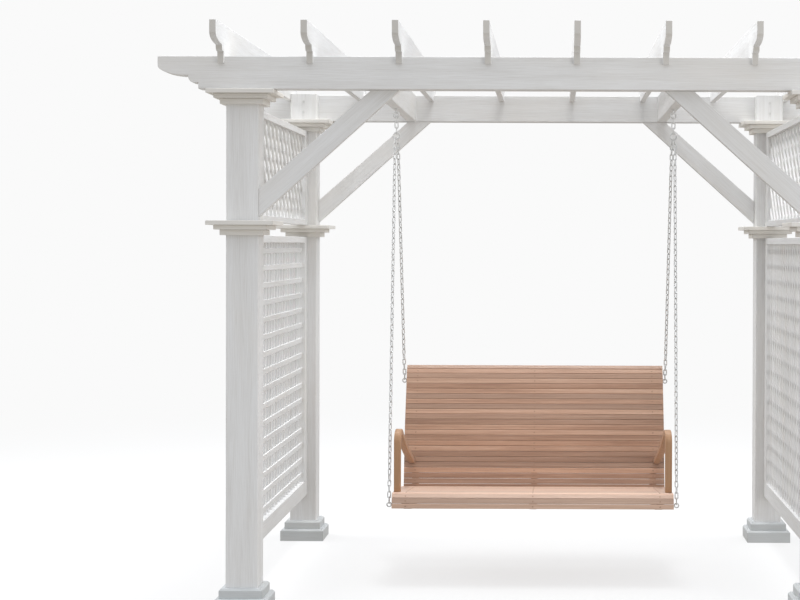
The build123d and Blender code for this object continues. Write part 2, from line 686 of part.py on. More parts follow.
def make_slat_screws():
    """A countersunk screw through every slat into each of the three ribs."""
    with BuildPart() as screw:
        with BuildSketch(Plane.XZ):
            with BuildLine():
                Polyline(
                    (0, 0),
                    (SCREW_HEAD / 2, 0),
                    (SCREW_SHANK / 2, -SCREW_HEAD_DEPTH),
                    (SCREW_SHANK / 2, -SCREW_LENGTH + SCREW_SHANK),
                    (0, -SCREW_LENGTH),
                    close=True,
                )
            make_face()
        revolve(axis=Axis.Z)
    pieces = []
    for points, headings in ((SEAT_POINTS, SEAT_HEADINGS), (BACK_POINTS, BACK_HEADINGS)):
        for i, heading in enumerate(headings):
            top = off_underside(points, headings, i, 0.5, BENCH_SLAT_THICK + SCREW_PROUD)
            angle = math.radians(heading)
            up = (0, -math.sin(angle), math.cos(angle))
            for x in (-RIB_X, 0, RIB_X):
                place = Plane(origin=(x, *top), x_dir=(1, 0, 0), z_dir=up)
                pieces.append(place.location * screw.part)
    return group(pieces)


def make_swing():
    """Build and write the hanging gear and the bench."""
    finish(make_joist_eye_bolts(), "joist_eye_bolts")
    finish(make_frame_screws(), "frame_screws")
    for side_name, side in SIDES.items():
        finish(make_hanger(side), f"hanger_{side_name}")
        finish(make_chain(side, FRONT_EYE_X, FRONT_EYE, CHAIN_SPREAD), f"front_chain_{side_name}")
        finish(make_chain(side, REAR_EYE_X, REAR_EYE, -CHAIN_SPREAD), f"rear_chain_{side_name}")
        finish(make_arm(side), f"arm_{side_name}")
    for rib_name, x in (("left", -RIB_X), ("centre", 0), ("right", RIB_X)):
        finish(make_seat_rib(x), f"seat_rib_{rib_name}")
        finish(make_back_rib(x), f"back_rib_{rib_name}")
    finish(make_slats(SEAT_FACES, SEAT_POINTS, SEAT_HEADINGS, SEAT_HALF_LENGTH), "seat_slats")
    finish(make_slats(BACK_FACES, BACK_POINTS, BACK_HEADINGS, BACK_HALF_LENGTH), "back_slats")
    finish(make_bench_eye_bolts(), "bench_eye_bolts")
    finish(make_slat_screws(), "slat_screws")


os.makedirs("parts", exist_ok=True)
make_pergola()
make_swing()
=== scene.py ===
import json
import math
import random

import bmesh
import bpy
import numpy as np
from mathutils import Matrix, Vector
from mathutils.geometry import tessellate_polygon


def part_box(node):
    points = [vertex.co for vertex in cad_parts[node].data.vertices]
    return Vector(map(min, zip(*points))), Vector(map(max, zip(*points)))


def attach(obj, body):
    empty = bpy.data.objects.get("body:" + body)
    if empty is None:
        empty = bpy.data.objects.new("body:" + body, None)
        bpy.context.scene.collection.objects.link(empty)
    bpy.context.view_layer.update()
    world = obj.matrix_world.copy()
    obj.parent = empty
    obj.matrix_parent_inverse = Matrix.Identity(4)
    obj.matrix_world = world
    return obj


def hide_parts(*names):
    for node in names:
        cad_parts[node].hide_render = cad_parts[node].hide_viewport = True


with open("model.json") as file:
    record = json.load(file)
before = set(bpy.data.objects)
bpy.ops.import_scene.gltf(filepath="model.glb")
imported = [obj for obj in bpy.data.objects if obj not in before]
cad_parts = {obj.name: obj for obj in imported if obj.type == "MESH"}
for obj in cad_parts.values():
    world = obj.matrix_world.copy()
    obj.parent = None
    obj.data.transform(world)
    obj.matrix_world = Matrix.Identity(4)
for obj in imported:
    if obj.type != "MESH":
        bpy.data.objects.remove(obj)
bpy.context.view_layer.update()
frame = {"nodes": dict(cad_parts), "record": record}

scene = bpy.context.scene
record = frame["record"]
BODY_OF = {node: body for body, nodes in record["behaviour"]["bodies"].items() for node in nodes}

CORNERS = [f"{end}_{side}" for end in ("front", "rear") for side in ("left", "right")]
SIDES = ("left", "right")
RAFTERS = 8
POST_HALF = 0.070
COLLAR_TIERS = ((0.023, 0.024), (0.046, 0.020), (0.075, 0.019))  # overhang, height
BASE_TIERS = ((0.045, 0.062), (0.025, 0.043))
BASE_BEVEL = 0.009
TIER_BEVEL = 0.002
MITRE_GAP = 0.0004

ARM_BEND_RADIUS = 0.046
ARM_THICK = 0.028
ARM_FALL = math.radians(30)
ARM_TONE = 0.10
ARM_WARMTH = 1.0

# How far the sharp edges of each kind of board are rounded off, in metres.
POST_EASE = 0.0015
BRACE_EASE = 0.003
BEAM_EASE = 0.003
RAFTER_EASE = 0.0025
JOIST_EASE = 0.001
PANEL_EASE = 0.002
LATTICE_EASE = 0.001
MOULDING_EASE = 0.0012
RIB_EASE = 0.002
SLAT_EASE = 0.0006
SHARP_ANGLE = math.radians(30)
MOULDING_SHARP_ANGLE = math.radians(40)
EASE_PROFILE = 0.6

SEAM_DISTANCE = 2e-5  # CAD vertices closer than this are one
FLAT_ANGLE = math.radians(0.4)  # CAD faces that turn less than this are one
UPRIGHT = 0.9  # a board whose direction has more of Z than this stands up
GRAIN_SHIFT = (20.0, 3.0, 3.0)  # the figure starts at a random place up to this far off


# --- Camera ---------------------------------------------------------------------------
SENSOR_WIDTH = 36.0
LENS = 75.98
LENS_SHIFT = (-0.1875, -0.0475)
CLIP_END = 200.0
CAMERA_PLACE = (0.0924, -8.2646, 1.5998)
LOOK_DOWN = math.radians(0.614)
TURN_LEFT = math.radians(0.112)
ROLL = math.radians(0.197)


def make_camera():
    """A long lens at eye height, with its framing set off to one side."""
    data = bpy.data.cameras.new("camera")
    data.sensor_width = SENSOR_WIDTH
    data.lens = LENS
    data.shift_x, data.shift_y = LENS_SHIFT
    data.clip_end = CLIP_END
    camera = bpy.data.objects.new("camera", data)
    camera.location = CAMERA_PLACE
    aim = Matrix.Rotation(TURN_LEFT, 4, "Z") @ Matrix.Rotation(math.pi / 2 - LOOK_DOWN, 4, "X")
    camera.rotation_euler = (aim @ Matrix.Rotation(ROLL, 4, "Z")).to_euler()
    scene.collection.objects.link(camera)
    scene.camera = camera


# --- Shader building blocks -----------------------------------------------------------
class Nodes:
    """Short calls for the shader nodes that the materials share."""

    def __init__(self, name):
        self.material = bpy.data.materials.new(name)
        self.material.use_nodes = True
        self.tree = self.material.node_tree
        self.shader = self.tree.nodes["Principled BSDF"]

    def add(self, kind, **settings):
        node = self.tree.nodes.new(kind)
        for key, value in settings.items():
            setattr(node, key, value)
        return node

    def link(self, source, target):
        self.tree.links.new(source, target)

    def feed(self, socket, value):
        """Link a socket to a socket, or set it to a plain value."""
        if isinstance(value, bpy.types.NodeSocket):
            self.link(value, socket)
        else:
            socket.default_value = value

    def attribute(self, name):
        return self.add("ShaderNodeAttribute", attribute_name=name)

    def scaled(self, vector, scale, offset=(0, 0, 0)):
        node = self.add("ShaderNodeMapping")
        self.link(vector, node.inputs["Vector"])
        node.inputs["Scale"].default_value = scale
        node.inputs["Location"].default_value = offset
        return node.outputs["Vector"]

    def noise(self, vector, scale=1.0, detail=4.0, roughness=0.55, distortion=0.0):
        node = self.add("ShaderNodeTexNoise")
        self.link(vector, node.inputs["Vector"])
        node.inputs["Scale"].default_value = scale
        node.inputs["Detail"].default_value = detail
        node.inputs["Roughness"].default_value = roughness
        node.inputs["Distortion"].default_value = distortion
        return node.outputs["Fac"]

    def ramp(self, factor, stops):
        node = self.add("ShaderNodeValToRGB")
        self.feed(node.inputs["Fac"], factor)
        elements = node.color_ramp.elements
        while len(elements) < len(stops):
            elements.new(0.5)
        for element, (position, colour) in zip(elements, stops):
            element.position = position
            element.color = (*colour, 1.0)
        return node.outputs["Color"]

    def levels(self, factor, low, high, out_low=0.0, out_high=1.0):
        """Carry a range of values over to another range."""
        node = self.add("ShaderNodeMapRange")
        self.feed(node.inputs["Value"], factor)
        node.inputs["From Min"].default_value = low
        node.inputs["From Max"].default_value = high
        node.inputs["To Min"].default_value = out_low
        node.inputs["To Max"].default_value = out_high
        return node.outputs["Result"]

    def math(self, operation, first, second=0.0):
        node = self.add("ShaderNodeMath", operation=operation)
        self.feed(node.inputs[0], first)
        self.feed(node.inputs[1], second)
        return node.outputs[0]

    def mix(self, factor, first, second, blend="MIX"):
        node = self.add("ShaderNodeMix", data_type="RGBA", blend_type=blend)
        self.feed(node.inputs["Factor"], factor)
        for socket, value in ((node.inputs["A"], first), (node.inputs["B"], second)):
            self.feed(socket, value if isinstance(value, bpy.types.NodeSocket) else (*value, 1.0))
        return node.outputs["Result"]

    def shade(self, colour, value):
        """Scale a colour's brightness by a number."""
        node = self.add("ShaderNodeHueSaturation")
        self.link(colour, node.inputs["Color"])
        self.feed(node.inputs["Value"], value)
        return node.outputs["Color"]

    def bump(self, height, strength, distance):
        node = self.add("ShaderNodeBump")
        self.link(height, node.inputs["Height"])
        node.inputs["Strength"].default_value = strength
        node.inputs["Distance"].default_value = distance
        self.link(node.outputs["Normal"], self.shader.inputs["Normal"])


def whitewashed_wood(name, brightness, tint):
    """Timber under a thin white wash: fine brushed streaks, open grain, faint warm stains."""
    n = Nodes(name)
    grain = n.attribute("grain").outputs["Vector"]
    tone = n.attribute("tone").outputs["Fac"]
    ends = n.attribute("ends").outputs["Fac"]
    bands = n.noise(n.scaled(grain, (0.9, 24, 24)), detail=4, distortion=0.5)
    fibres = n.noise(n.scaled(grain, (7, 300, 300), (3, 1, 2)), detail=5, roughness=0.65)
    pores = n.noise(n.scaled(grain, (16, 700, 700), (7, 4, 5)), detail=2)
    patches = n.noise(n.scaled(grain, (1.6, 4.5, 4.5), (1, 8, 3)), detail=5)
    coat = n.math("ADD", n.math("MULTIPLY", bands, 0.4), n.math("MULTIPLY", fibres, 0.6))
    colour = n.ramp(coat, [
        (0.28, (0.60, 0.59, 0.57)),
        (0.42, (0.695, 0.69, 0.68)),
        (0.55, (0.745, 0.745, 0.74)),
        (0.72, (0.80, 0.803, 0.81)),
    ])
    colour = n.mix(n.levels(pores, 0.60, 0.76, 0.0, 0.30), colour, (0.52, 0.50, 0.46))
    colour = n.mix(n.levels(patches, 0.48, 0.80, 0.0, 0.38), colour, (0.70, 0.66, 0.60))
    colour = n.mix(n.levels(ends, 0.35, 0.85, 0.0, 0.75), colour, (0.56, 0.535, 0.49))
    # Tint and brightness make copies of the wash: on the bases they are painted shade, on the
    # collars and capitals painted bounce light.
    colour = n.mix(1.0, colour, tint, blend="MULTIPLY")
    shaded = n.shade(colour, n.levels(tone, 0.0, 1.0, 0.955 * brightness, 1.045 * brightness))
    n.link(shaded, n.shader.inputs["Base Color"])
    n.link(n.levels(fibres, 0.3, 0.7, 0.74, 0.55), n.shader.inputs["Roughness"])
    n.shader.inputs["Specular IOR Level"].default_value = 0.3
    n.bump(n.math("ADD", fibres, n.math("MULTIPLY", pores, 0.6)), 0.3, 0.001)
    return n.material


def cedar(name, brightness, wash, strength):
    """Oiled cedar: long figure, pale and dark fibres, and a tone of its own for each board.

    The wash is a colour mixed over the wood: on the seat a pale one is painted sheen and light,
    on the arms a redder one is their own colour.
    """
    n = Nodes(name)
    grain = n.attribute("grain").outputs["Vector"]
    tone = n.attribute("tone").outputs["Fac"]
    warmth = n.attribute("warmth").outputs["Fac"]
    ends = n.attribute("ends").outputs["Fac"]
    figure = n.noise(n.scaled(grain, (1.1, 55, 55)), detail=4, roughness=0.55, distortion=0.8)
    fibres = n.noise(n.scaled(grain, (8, 420, 420), (2, 5, 1)), detail=5, roughness=0.7)
    pores = n.noise(n.scaled(grain, (20, 1100, 1100), (6, 2, 9)), detail=2)
    blend = n.math("ADD", n.math("MULTIPLY", figure, 0.55), n.math("MULTIPLY", fibres, 0.45))
    colour = n.ramp(blend, [
        (0.30, (0.250, 0.118, 0.066)),
        (0.44, (0.420, 0.225, 0.135)),
        (0.55, (0.540, 0.315, 0.205)),
        (0.70, (0.690, 0.465, 0.335)),
    ])
    greyed = n.mix(0.35, colour, (0.50, 0.37, 0.29))
    colour = n.mix(warmth, greyed, colour)
    # On the seat this pale wash is painted sheen, and the raised brightness below is painted
    # light.
    colour = n.mix(strength, colour, wash)
    colour = n.mix(n.levels(pores, 0.60, 0.76, 0.0, 0.4), colour, (0.17, 0.085, 0.05))
    colour = n.mix(n.levels(ends, 0.35, 0.85, 0.0, 0.6), colour, (0.26, 0.14, 0.085))
    shaded = n.shade(colour, n.levels(tone, 0.0, 1.0, 0.72 * brightness, 1.14 * brightness))
    n.link(shaded, n.shader.inputs["Base Color"])
    n.link(n.levels(fibres, 0.3, 0.7, 0.6, 0.4), n.shader.inputs["Roughness"])
    n.shader.inputs["Specular IOR Level"].default_value = 0.6
    n.shader.inputs["Sheen Weight"].default_value = 0.12
    n.shader.inputs["Sheen Roughness"].default_value = 0.5
    n.bump(n.math("ADD", fibres, n.math("MULTIPLY", pores, 0.7)), 0.35, 0.0008)
    return n.material


def galvanised():
    """Dull zinc with pale and dark mottling."""
    n = Nodes("galvanised")
    place = n.add("ShaderNodeTexCoord").outputs["Object"]
    cells = n.add("ShaderNodeTexVoronoi")
    n.link(place, cells.inputs["Vector"])
    cells.inputs["Scale"].default_value = 420.0
    spangle = n.levels(cells.outputs["Distance"], 0.0, 1.0)
    bloom = n.noise(place, scale=60.0, detail=4)
    colour = n.ramp(n.math("MULTIPLY", n.math("ADD", spangle, bloom), 0.6), [
        (0.2, (0.50, 0.505, 0.50)),
        (0.5, (0.68, 0.685, 0.68)),
        (0.8, (0.82, 0.825, 0.82)),
    ])
    n.link(colour, n.shader.inputs["Base Color"])
    n.shader.inputs["Metallic"].default_value = 0.65
    n.link(n.levels(bloom, 0.3, 0.7, 0.38, 0.58), n.shader.inputs["Roughness"])
    n.bump(bloom, 0.15, 0.0004)
    return n.material


def coated_screw(name, colour):
    """A screw head with a dull coating, worn a little on its high spots."""
    n = Nodes(name)
    place = n.add("ShaderNodeTexCoord").outputs["Object"]
    wear = n.noise(place, scale=900.0, detail=3)
    worn = tuple(min(1.0, channel * 1.35) for channel in colour)
    n.link(n.mix(n.levels(wear, 0.5, 0.7), colour, worn), n.shader.inputs["Base Color"])
    n.shader.inputs["Metallic"].default_value = 0.4
    n.link(n.levels(wear, 0.3, 0.7, 0.5, 0.7), n.shader.inputs["Roughness"])
    n.bump(wear, 0.2, 0.0002)
    return n.material


# --- Turning CAD solids into finished pieces --------------------------------------------
def finish_piece(bm, name, node, material, smooth=True):
    """Make an object of a bmesh, give it a material, and put it in the place of a CAD node."""
    mesh = bpy.data.meshes.new(name)
    bm.to_mesh(mesh)
    bm.free()
    mesh.materials.append(material)
    if smooth:
        mesh.shade_smooth()
    piece = bpy.data.objects.new(name, mesh)
    scene.collection.objects.link(piece)
    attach(piece, BODY_OF[node])
    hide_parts(node)
    return piece


def weighted(piece):
    """Keep broad faces flat-looking while their eased edges shade round."""
    modifier = piece.modifiers.new("normals", "WEIGHTED_NORMAL")
    modifier.keep_sharp = False
    modifier.weight = 100


def welded(node, flatten=True):
    """A CAD node's mesh with its seams closed and its flat faces whole."""
    bm = bmesh.new()
    bm.from_mesh(frame["nodes"][node].data)
    bmesh.ops.remove_doubles(bm, verts=bm.verts, dist=SEAM_DISTANCE)
    if flatten:
        bmesh.ops.dissolve_limit(bm, angle_limit=FLAT_ANGLE, verts=bm.verts, edges=bm.edges)
    bm.normal_update()
    return bm


def islands(bm):
    """The separate solids of a mesh, each a list of vertices, in a settled order."""
    found = []
    seen = set()
    for start in bm.verts:
        if start in seen:
            continue
        seen.add(start)
        group, stack = [], [start]
        while stack:
            vert = stack.pop()
            group.append(vert)
            for edge in vert.link_edges:
                other = edge.other_vert(vert)
                if other not in seen:
                    seen.add(other)
                    stack.append(other)
        found.append(group)
    return found


def long_axes(points):
    """Centre and the three principal directions of some points, longest first."""
    array = np.array([tuple(p) for p in points])
    centre = (array.max(0) + array.min(0)) / 2
    _, _, axes = np.linalg.svd(array - array.mean(0), full_matrices=False)
    return Vector(centre), [Vector(axis) for axis in axes]


def board_axes(group):
    """A board's length, width and thickness directions, from its longest straight edge."""
    edges = {edge for vert in group for edge in vert.link_edges}
    longest = max(edges, key=lambda edge: edge.calc_length())
    along = (longest.verts[0].co - longest.verts[1].co).normalized()
    if along[max(range(3), key=lambda i: abs(along[i]))] < 0:
        along.negate()
    up = Vector((0, 0, 1)) if abs(along.z) < UPRIGHT else Vector((1, 0, 0))
    across = up.cross(along).normalized()
    return along, across, along.cross(across)


def lay_grain(bm, group, axes, rng, tone=None, warmth=None):
    """Write a board's own coordinates and tone, so that its figure runs along it."""
    grain = bm.verts.layers.float_vector["grain"]
    tones, warms, ends = (bm.verts.layers.float[name] for name in ("tone", "warmth", "ends"))
    offset = Vector([rng.uniform(0, reach) for reach in GRAIN_SHIFT])
    tone = rng.random() if tone is None else tone
    warmth = rng.random() if warmth is None else warmth
    for vert in group:
        vert[grain] = Vector([vert.co.dot(axis) for axis in axes]) + offset
        vert[tones] = tone
        vert[warms] = warmth
        vert[ends] = min(abs(face.normal.dot(axes[0])) for face in vert.link_faces)


def ease_edges(bm, size, angle=SHARP_ANGLE):
    """Round off the sharp edges of a mesh by a small amount."""
    sharp = [edge for edge in bm.edges if edge.is_manifold and edge.calc_face_angle() > angle]
    bmesh.ops.bevel(
        bm, geom=sharp, offset=size, offset_type="OFFSET", segments=2, profile=EASE_PROFILE,
        affect="EDGES", clamp_overlap=True,
    )


def add_layers(bm):
    """Make room for the board attributes, and bring the normals that they use up to date."""
    bm.normal_update()
    bm.verts.layers.float_vector.new("grain")
    for name in ("tone", "warmth", "ends"):
        bm.verts.layers.float.new(name)


def timber(node, material, ease, principal=False):
    """A CAD node of one or more boards, with eased edges and its own figure on each."""
    rng = random.Random(node)
    bm = welded(node)
    ease_edges(bm, ease)
    add_layers(bm)
    for group in islands(bm):
        axes = long_axes([v.co for v in group])[1] if principal else board_axes(group)
        lay_grain(bm, group, axes, rng)
    weighted(finish_piece(bm, f"{node}_wood", node, material))


def prism(bm, lower, upper):
    """A closed solid between two matching outlines."""
    starts = [bm.verts.new(point) for point in lower]
    ends = [bm.verts.new(point) for point in upper]
    count = len(starts)
    bm.faces.new(list(reversed(starts)))
    bm.faces.new(ends)
    for i in range(count):
        j = (i + 1) % count
        bm.faces.new((starts[i], starts[j], ends[j], ends[i]))


def mitred_ring(bm, centre, bottom, overhang, height, bevel):
    """Four boards round a post that meet at the corners in mitres."""
    profile = [
        (0.0, bottom),
        (overhang, bottom),
        (overhang, bottom + height - bevel),
        (overhang - bevel, bottom + height),
        (0.0, bottom + height),
    ]
    for quarter in range(4):
        turn = Matrix.Rotation(quarter * math.pi / 2, 3, "Z")
        ends = []
        for sign in (-1, 1):
            end = []
            for out, z in profile:
                reach = POST_HALF + out
                end.append(turn @ Vector((sign * (reach - MITRE_GAP), -reach, z)) + centre)
            ends.append(end)
        prism(bm, ends[0], ends[1])


def moulding(node, tiers, bevel, material):
    """A stepped collar, capital or base, each tier four mitred boards."""
    rng = random.Random(node)
    low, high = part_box(node)
    centre = Vector(((low.x + high.x) / 2, (low.y + high.y) / 2, 0))
    bm = bmesh.new()
    level = low.z
    for overhang, height in tiers:
        mitred_ring(bm, centre, level, overhang, height, bevel)
        level += height
    bmesh.ops.recalc_face_normals(bm, faces=bm.faces)
    ease_edges(bm, MOULDING_EASE, MOULDING_SHARP_ANGLE)
    add_layers(bm)
    for group in islands(bm):
        lay_grain(bm, group, board_axes(group), rng)
    weighted(finish_piece(bm, f"{node}_mouldings", node, material))


def box_board(bm, low, high):
    """A plain board between two corners."""
    ring = [(low[0], low[1]), (high[0], low[1]), (high[0], high[1]), (low[0], high[1])]
    prism(bm, [(x, y, low[2]) for x, y in ring], [(x, y, high[2]) for x, y in ring])


def panel_frame(level, side, material):
    """Stiles and rails round a lattice, as four boards with a fine line at each joint."""
    node = f"{level}_frame_{side}"
    rng = random.Random(node)
    low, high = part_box(node)
    inner_low, inner_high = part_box(f"{level}_lattice_{side}")
    bm = bmesh.new()
    rail_start, rail_end = inner_low.y + MITRE_GAP, inner_high.y - MITRE_GAP
    box_board(bm, low, (high.x, inner_low.y, high.z))
    box_board(bm, (low.x, inner_high.y, low.z), high)
    box_board(bm, (low.x, rail_start, low.z), (high.x, rail_end, inner_low.z))
    box_board(bm, (low.x, rail_start, inner_high.z), (high.x, rail_end, high.z))
    bmesh.ops.recalc_face_normals(bm, faces=bm.faces)
    ease_edges(bm, PANEL_EASE)
    add_layers(bm)
    for group in islands(bm):
        lay_grain(bm, group, board_axes(group), rng)
    weighted(finish_piece(bm, f"{node}_wood", node, material))


def bent_arm(node, material):
    """The bent armrest: its figure follows the strip up, over and down."""
    rng = random.Random(node)
    bm = welded(node, flatten=False)
    add_layers(bm)
    grain = bm.verts.layers.float_vector["grain"]
    ends = bm.verts.layers.float["ends"]
    low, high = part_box(node)
    bend_z = high.z - ARM_THICK / 2 - ARM_BEND_RADIUS
    bend_y = low.y + ARM_THICK / 2 + ARM_BEND_RADIUS
    axes = (Vector((0, 0, 1)), Vector((1, 0, 0)), Vector((0, 1, 0)))
    lay_grain(bm, bm.verts[:], axes, rng, ARM_TONE, ARM_WARMTH)
    for vert in bm.verts:
        across = vert.co.x
        y, z = vert.co.y - bend_y, vert.co.z - bend_z
        turned = math.atan2(z, -y) if z > 0 else 0.0
        if z <= 0 and y < 0:
            along, depth = z, -y
        elif turned <= math.pi / 2 + ARM_FALL:
            along, depth = turned * ARM_BEND_RADIUS, math.hypot(y, z)
        else:
            start = (math.pi / 2 + ARM_FALL) * ARM_BEND_RADIUS
            along = start + y * math.cos(ARM_FALL) - z * math.sin(ARM_FALL)
            depth = y * math.sin(ARM_FALL) + z * math.cos(ARM_FALL)
        vert[grain] = Vector((along, across, depth))
        vert[ends] = 0.0
    weighted(finish_piece(bm, f"{node}_wood", node, material))


# --- Steel --------------------------------------------------------------------------------
LINK_STEPS = 8  # steps round each end of a link
LINK_SIDES = 10  # flats round its wire
RING_STEPS = 40
RING_SIDES = 12
ROUND_LIMIT = 0.0005  # a link with straight sides shorter than this is a ring
WELD = ((0.36, 1.0), (0.43, 1.13), (0.57, 1.13), (0.64, 1.0))  # share of a side, swell

SCREW_END_POINTS = 9  # points at each end of a screw that show which end is the head
HEAD_DEPTH = 1e-4  # points this close to the top of a screw are on its head
RIM_SIDES = 20
# The other sizes of a screw head are shares of its radius, and a taper is a share of a width.
RIM_DEPTH = 0.3
RIM_TAPER = 0.96
CROSS_REACH = 0.55
CROSS_HALF_WIDTH = 0.16
CROSS_DEPTH = 0.45
CROSS_TAPER = 0.8


def circle(steps):
    """Even angles round a full turn."""
    return [2 * math.pi * i / steps for i in range(steps)]


def tube_loop(bm, path, sizes, normal, sides):
    """A round wire along a closed path of points in one plane, with its radius at each."""
    count = len(path)
    rings = []
    for i, (point, size) in enumerate(zip(path, sizes)):
        tangent = (path[(i + 1) % count] - path[i - 1]).normalized()
        out = tangent.cross(normal)
        rings.append([
            bm.verts.new(point + out * (size * math.cos(a)) + normal * (size * math.sin(a)))
            for a in circle(sides)
        ])
    for i in range(count):
        a, b = rings[i], rings[(i + 1) % count]
        for j in range(sides):
            k = (j + 1) % sides
            bm.faces.new((a[j], b[j], b[k], a[k]))


def slot_path(centre, along, across, half_straight, radius):
    """Points round a link: two straight sides and two half circles."""
    points = []
    for end in (1, -1):
        for i in range(LINK_STEPS + 1):
            angle = math.pi * i / LINK_STEPS
            side = math.cos(angle) * radius * end
            reach = (half_straight + math.sin(angle) * radius) * end
            points.append(centre + across * side + along * reach)
    return points


def span(points, axis):
    """How far some points reach along a direction."""
    reaches = [point.dot(axis) for point in points]
    return max(reaches) - min(reaches)


def chain(node, material):
    """Every link of a CAD chain as a round wire with the little swell of its weld."""
    bm_cad = welded(node, flatten=False)
    bm = bmesh.new()
    for group in islands(bm_cad):
        points = [v.co.copy() for v in group]
        centre, axes = long_axes(points)
        along, across, normal = axes
        length, width, thickness = (span(points, axis) for axis in axes)
        wire = thickness / 2
        radius = width / 2 - wire
        half_straight = max(0.0, (length - width) / 2)
        if half_straight < ROUND_LIMIT:
            ring = [
                centre + (across * math.cos(a) + along * math.sin(a)) * radius
                for a in circle(RING_STEPS)
            ]
            tube_loop(bm, ring, [wire] * RING_STEPS, normal, RING_SIDES)
            continue
        path = slot_path(centre, along, across, half_straight, radius)
        sizes = [wire] * len(path)
        side_start, side_end = path[-1], path[0]
        for share, swell in WELD:
            path.append(side_start.lerp(side_end, share))
            sizes.append(wire * swell)
        tube_loop(bm, path, sizes, normal, LINK_SIDES)
    bm_cad.free()
    bmesh.ops.recalc_face_normals(bm, faces=bm.faces)
    finish_piece(bm, f"{node}_links", node, material)


def screw_head_shape():
    """A round head of radius 1 with a cross sunk into it: points, faces."""
    rim = [Vector((math.cos(a), math.sin(a), 0)) for a in circle(RIM_SIDES)]
    arm = (
        Vector((CROSS_REACH, -CROSS_HALF_WIDTH, 0)),
        Vector((CROSS_REACH, CROSS_HALF_WIDTH, 0)),
        Vector((CROSS_HALF_WIDTH, CROSS_HALF_WIDTH, 0)),
    )
    cross = []
    for quarter in range(4):
        turn = Matrix.Rotation(quarter * math.pi / 2, 3, "Z")
        cross += [turn @ point for point in arm]
    points = rim + cross
    faces = [tuple(corners) for corners in tessellate_polygon([rim, cross])]
    floor_start = len(points)
    points += [point * CROSS_TAPER + Vector((0, 0, -CROSS_DEPTH)) for point in cross]
    count = len(cross)
    for i in range(count):
        j = (i + 1) % count
        faces.append((RIM_SIDES + i, RIM_SIDES + j, floor_start + j, floor_start + i))
    faces.append(tuple(range(floor_start, floor_start + count)))
    skirt_start = len(points)
    points += [point * RIM_TAPER + Vector((0, 0, -RIM_DEPTH)) for point in rim]
    for i in range(RIM_SIDES):
        j = (i + 1) % RIM_SIDES
        faces.append((i, j, skirt_start + j, skirt_start + i))
    faces.append(tuple(range(skirt_start, skirt_start + RIM_SIDES)))
    return points, faces


def spread(points, middle, axis):
    """The furthest distance of some points from a line."""
    offsets = [point - middle for point in points]
    return max((offset - axis * offset.dot(axis)).length for offset in offsets)


def screw_heads(node, material):
    """The heads of a CAD group of screws, each with its cross recess turned its own way."""
    rng = random.Random(node)
    shape, faces = screw_head_shape()
    bm_cad = welded(node, flatten=False)
    bm = bmesh.new()
    for group in islands(bm_cad):
        points = [v.co.copy() for v in group]
        axis = long_axes(points)[1][0]
        ordered = sorted(points, key=lambda point: point.dot(axis))
        first, last = ordered[:SCREW_END_POINTS], ordered[-SCREW_END_POINTS:]
        middle = sum(points, Vector()) / len(points)
        if spread(first, middle, axis) > spread(last, middle, axis):
            axis = -axis
        top = max(point.dot(axis) for point in points)
        head = [point for point in points if point.dot(axis) > top - HEAD_DEPTH]
        centre = sum(head, Vector()) / len(head)
        radius = max((point - centre).length for point in head)
        upright = axis.to_track_quat("Z", "X").to_matrix()
        turn = upright @ Matrix.Rotation(rng.uniform(0, math.pi), 3, "Z")
        verts = [bm.verts.new(turn @ (point * radius) + centre) for point in shape]
        for face in faces:
            bm.faces.new([verts[i] for i in face])
    bm_cad.free()
    bmesh.ops.recalc_face_normals(bm, faces=bm.faces)
    finish_piece(bm, f"{node}_heads", node, material, smooth=False)


def keep_cad(node, material):
    """A CAD node whose own shape is right: only its material changes."""
    cad = frame["nodes"][node]
    cad.data.materials.clear()
    cad.data.materials.append(material)


# --- Stage and light ----------------------------------------------------------------------
FLOOR_HALF = 60.0
FLOOR_FADE = (2.5, 9.0)  # the floor turns from lit to backdrop white between these distances
FLOOR_COLOUR = (0.24, 0.24, 0.24)
FLOOR_GLOW = 0.66
BACKDROP = (0.956, 0.956, 0.956)

GROUND_LIGHT = (0.555, 0.535, 0.505)
SKY_FRONT = (0.53, 0.56, 0.61)
SKY_BACK = (1.10, 1.13, 1.18)
SKY_TOP = (1.28, 1.30, 1.34)
# Where a direction's Y or Z begins and ends each change of the sky.
FRONT_TO_BACK = (-0.7, 0.7)
SIDES_TO_TOP = (0.15, 0.95)
HORIZON = (-0.08, 0.08)

LIGHTS = (
    # name, place, aim, size, power, colour
    ("overhead", (0.2, 0.1, 8.0), (0, 0, 0.5), (3.0, 1.6), 290.0, (0.97, 0.985, 1.0)),
    ("right_box", (5.0, 1.5, 5.0), (0, 0, 1.6), (3.0, 3.0), 60.0, (1, 1, 1)),
    ("left_box", (-5.0, 1.2, 4.5), (1.2, 0, 1.6), (3.0, 3.0), 150.0, (1, 1, 1)),
    ("front_fill", (4.5, -5.5, 1.4), (0.6, -0.4, 1.2), (2.5, 2.0), 75.0, (1.0, 0.98, 0.96)),
)


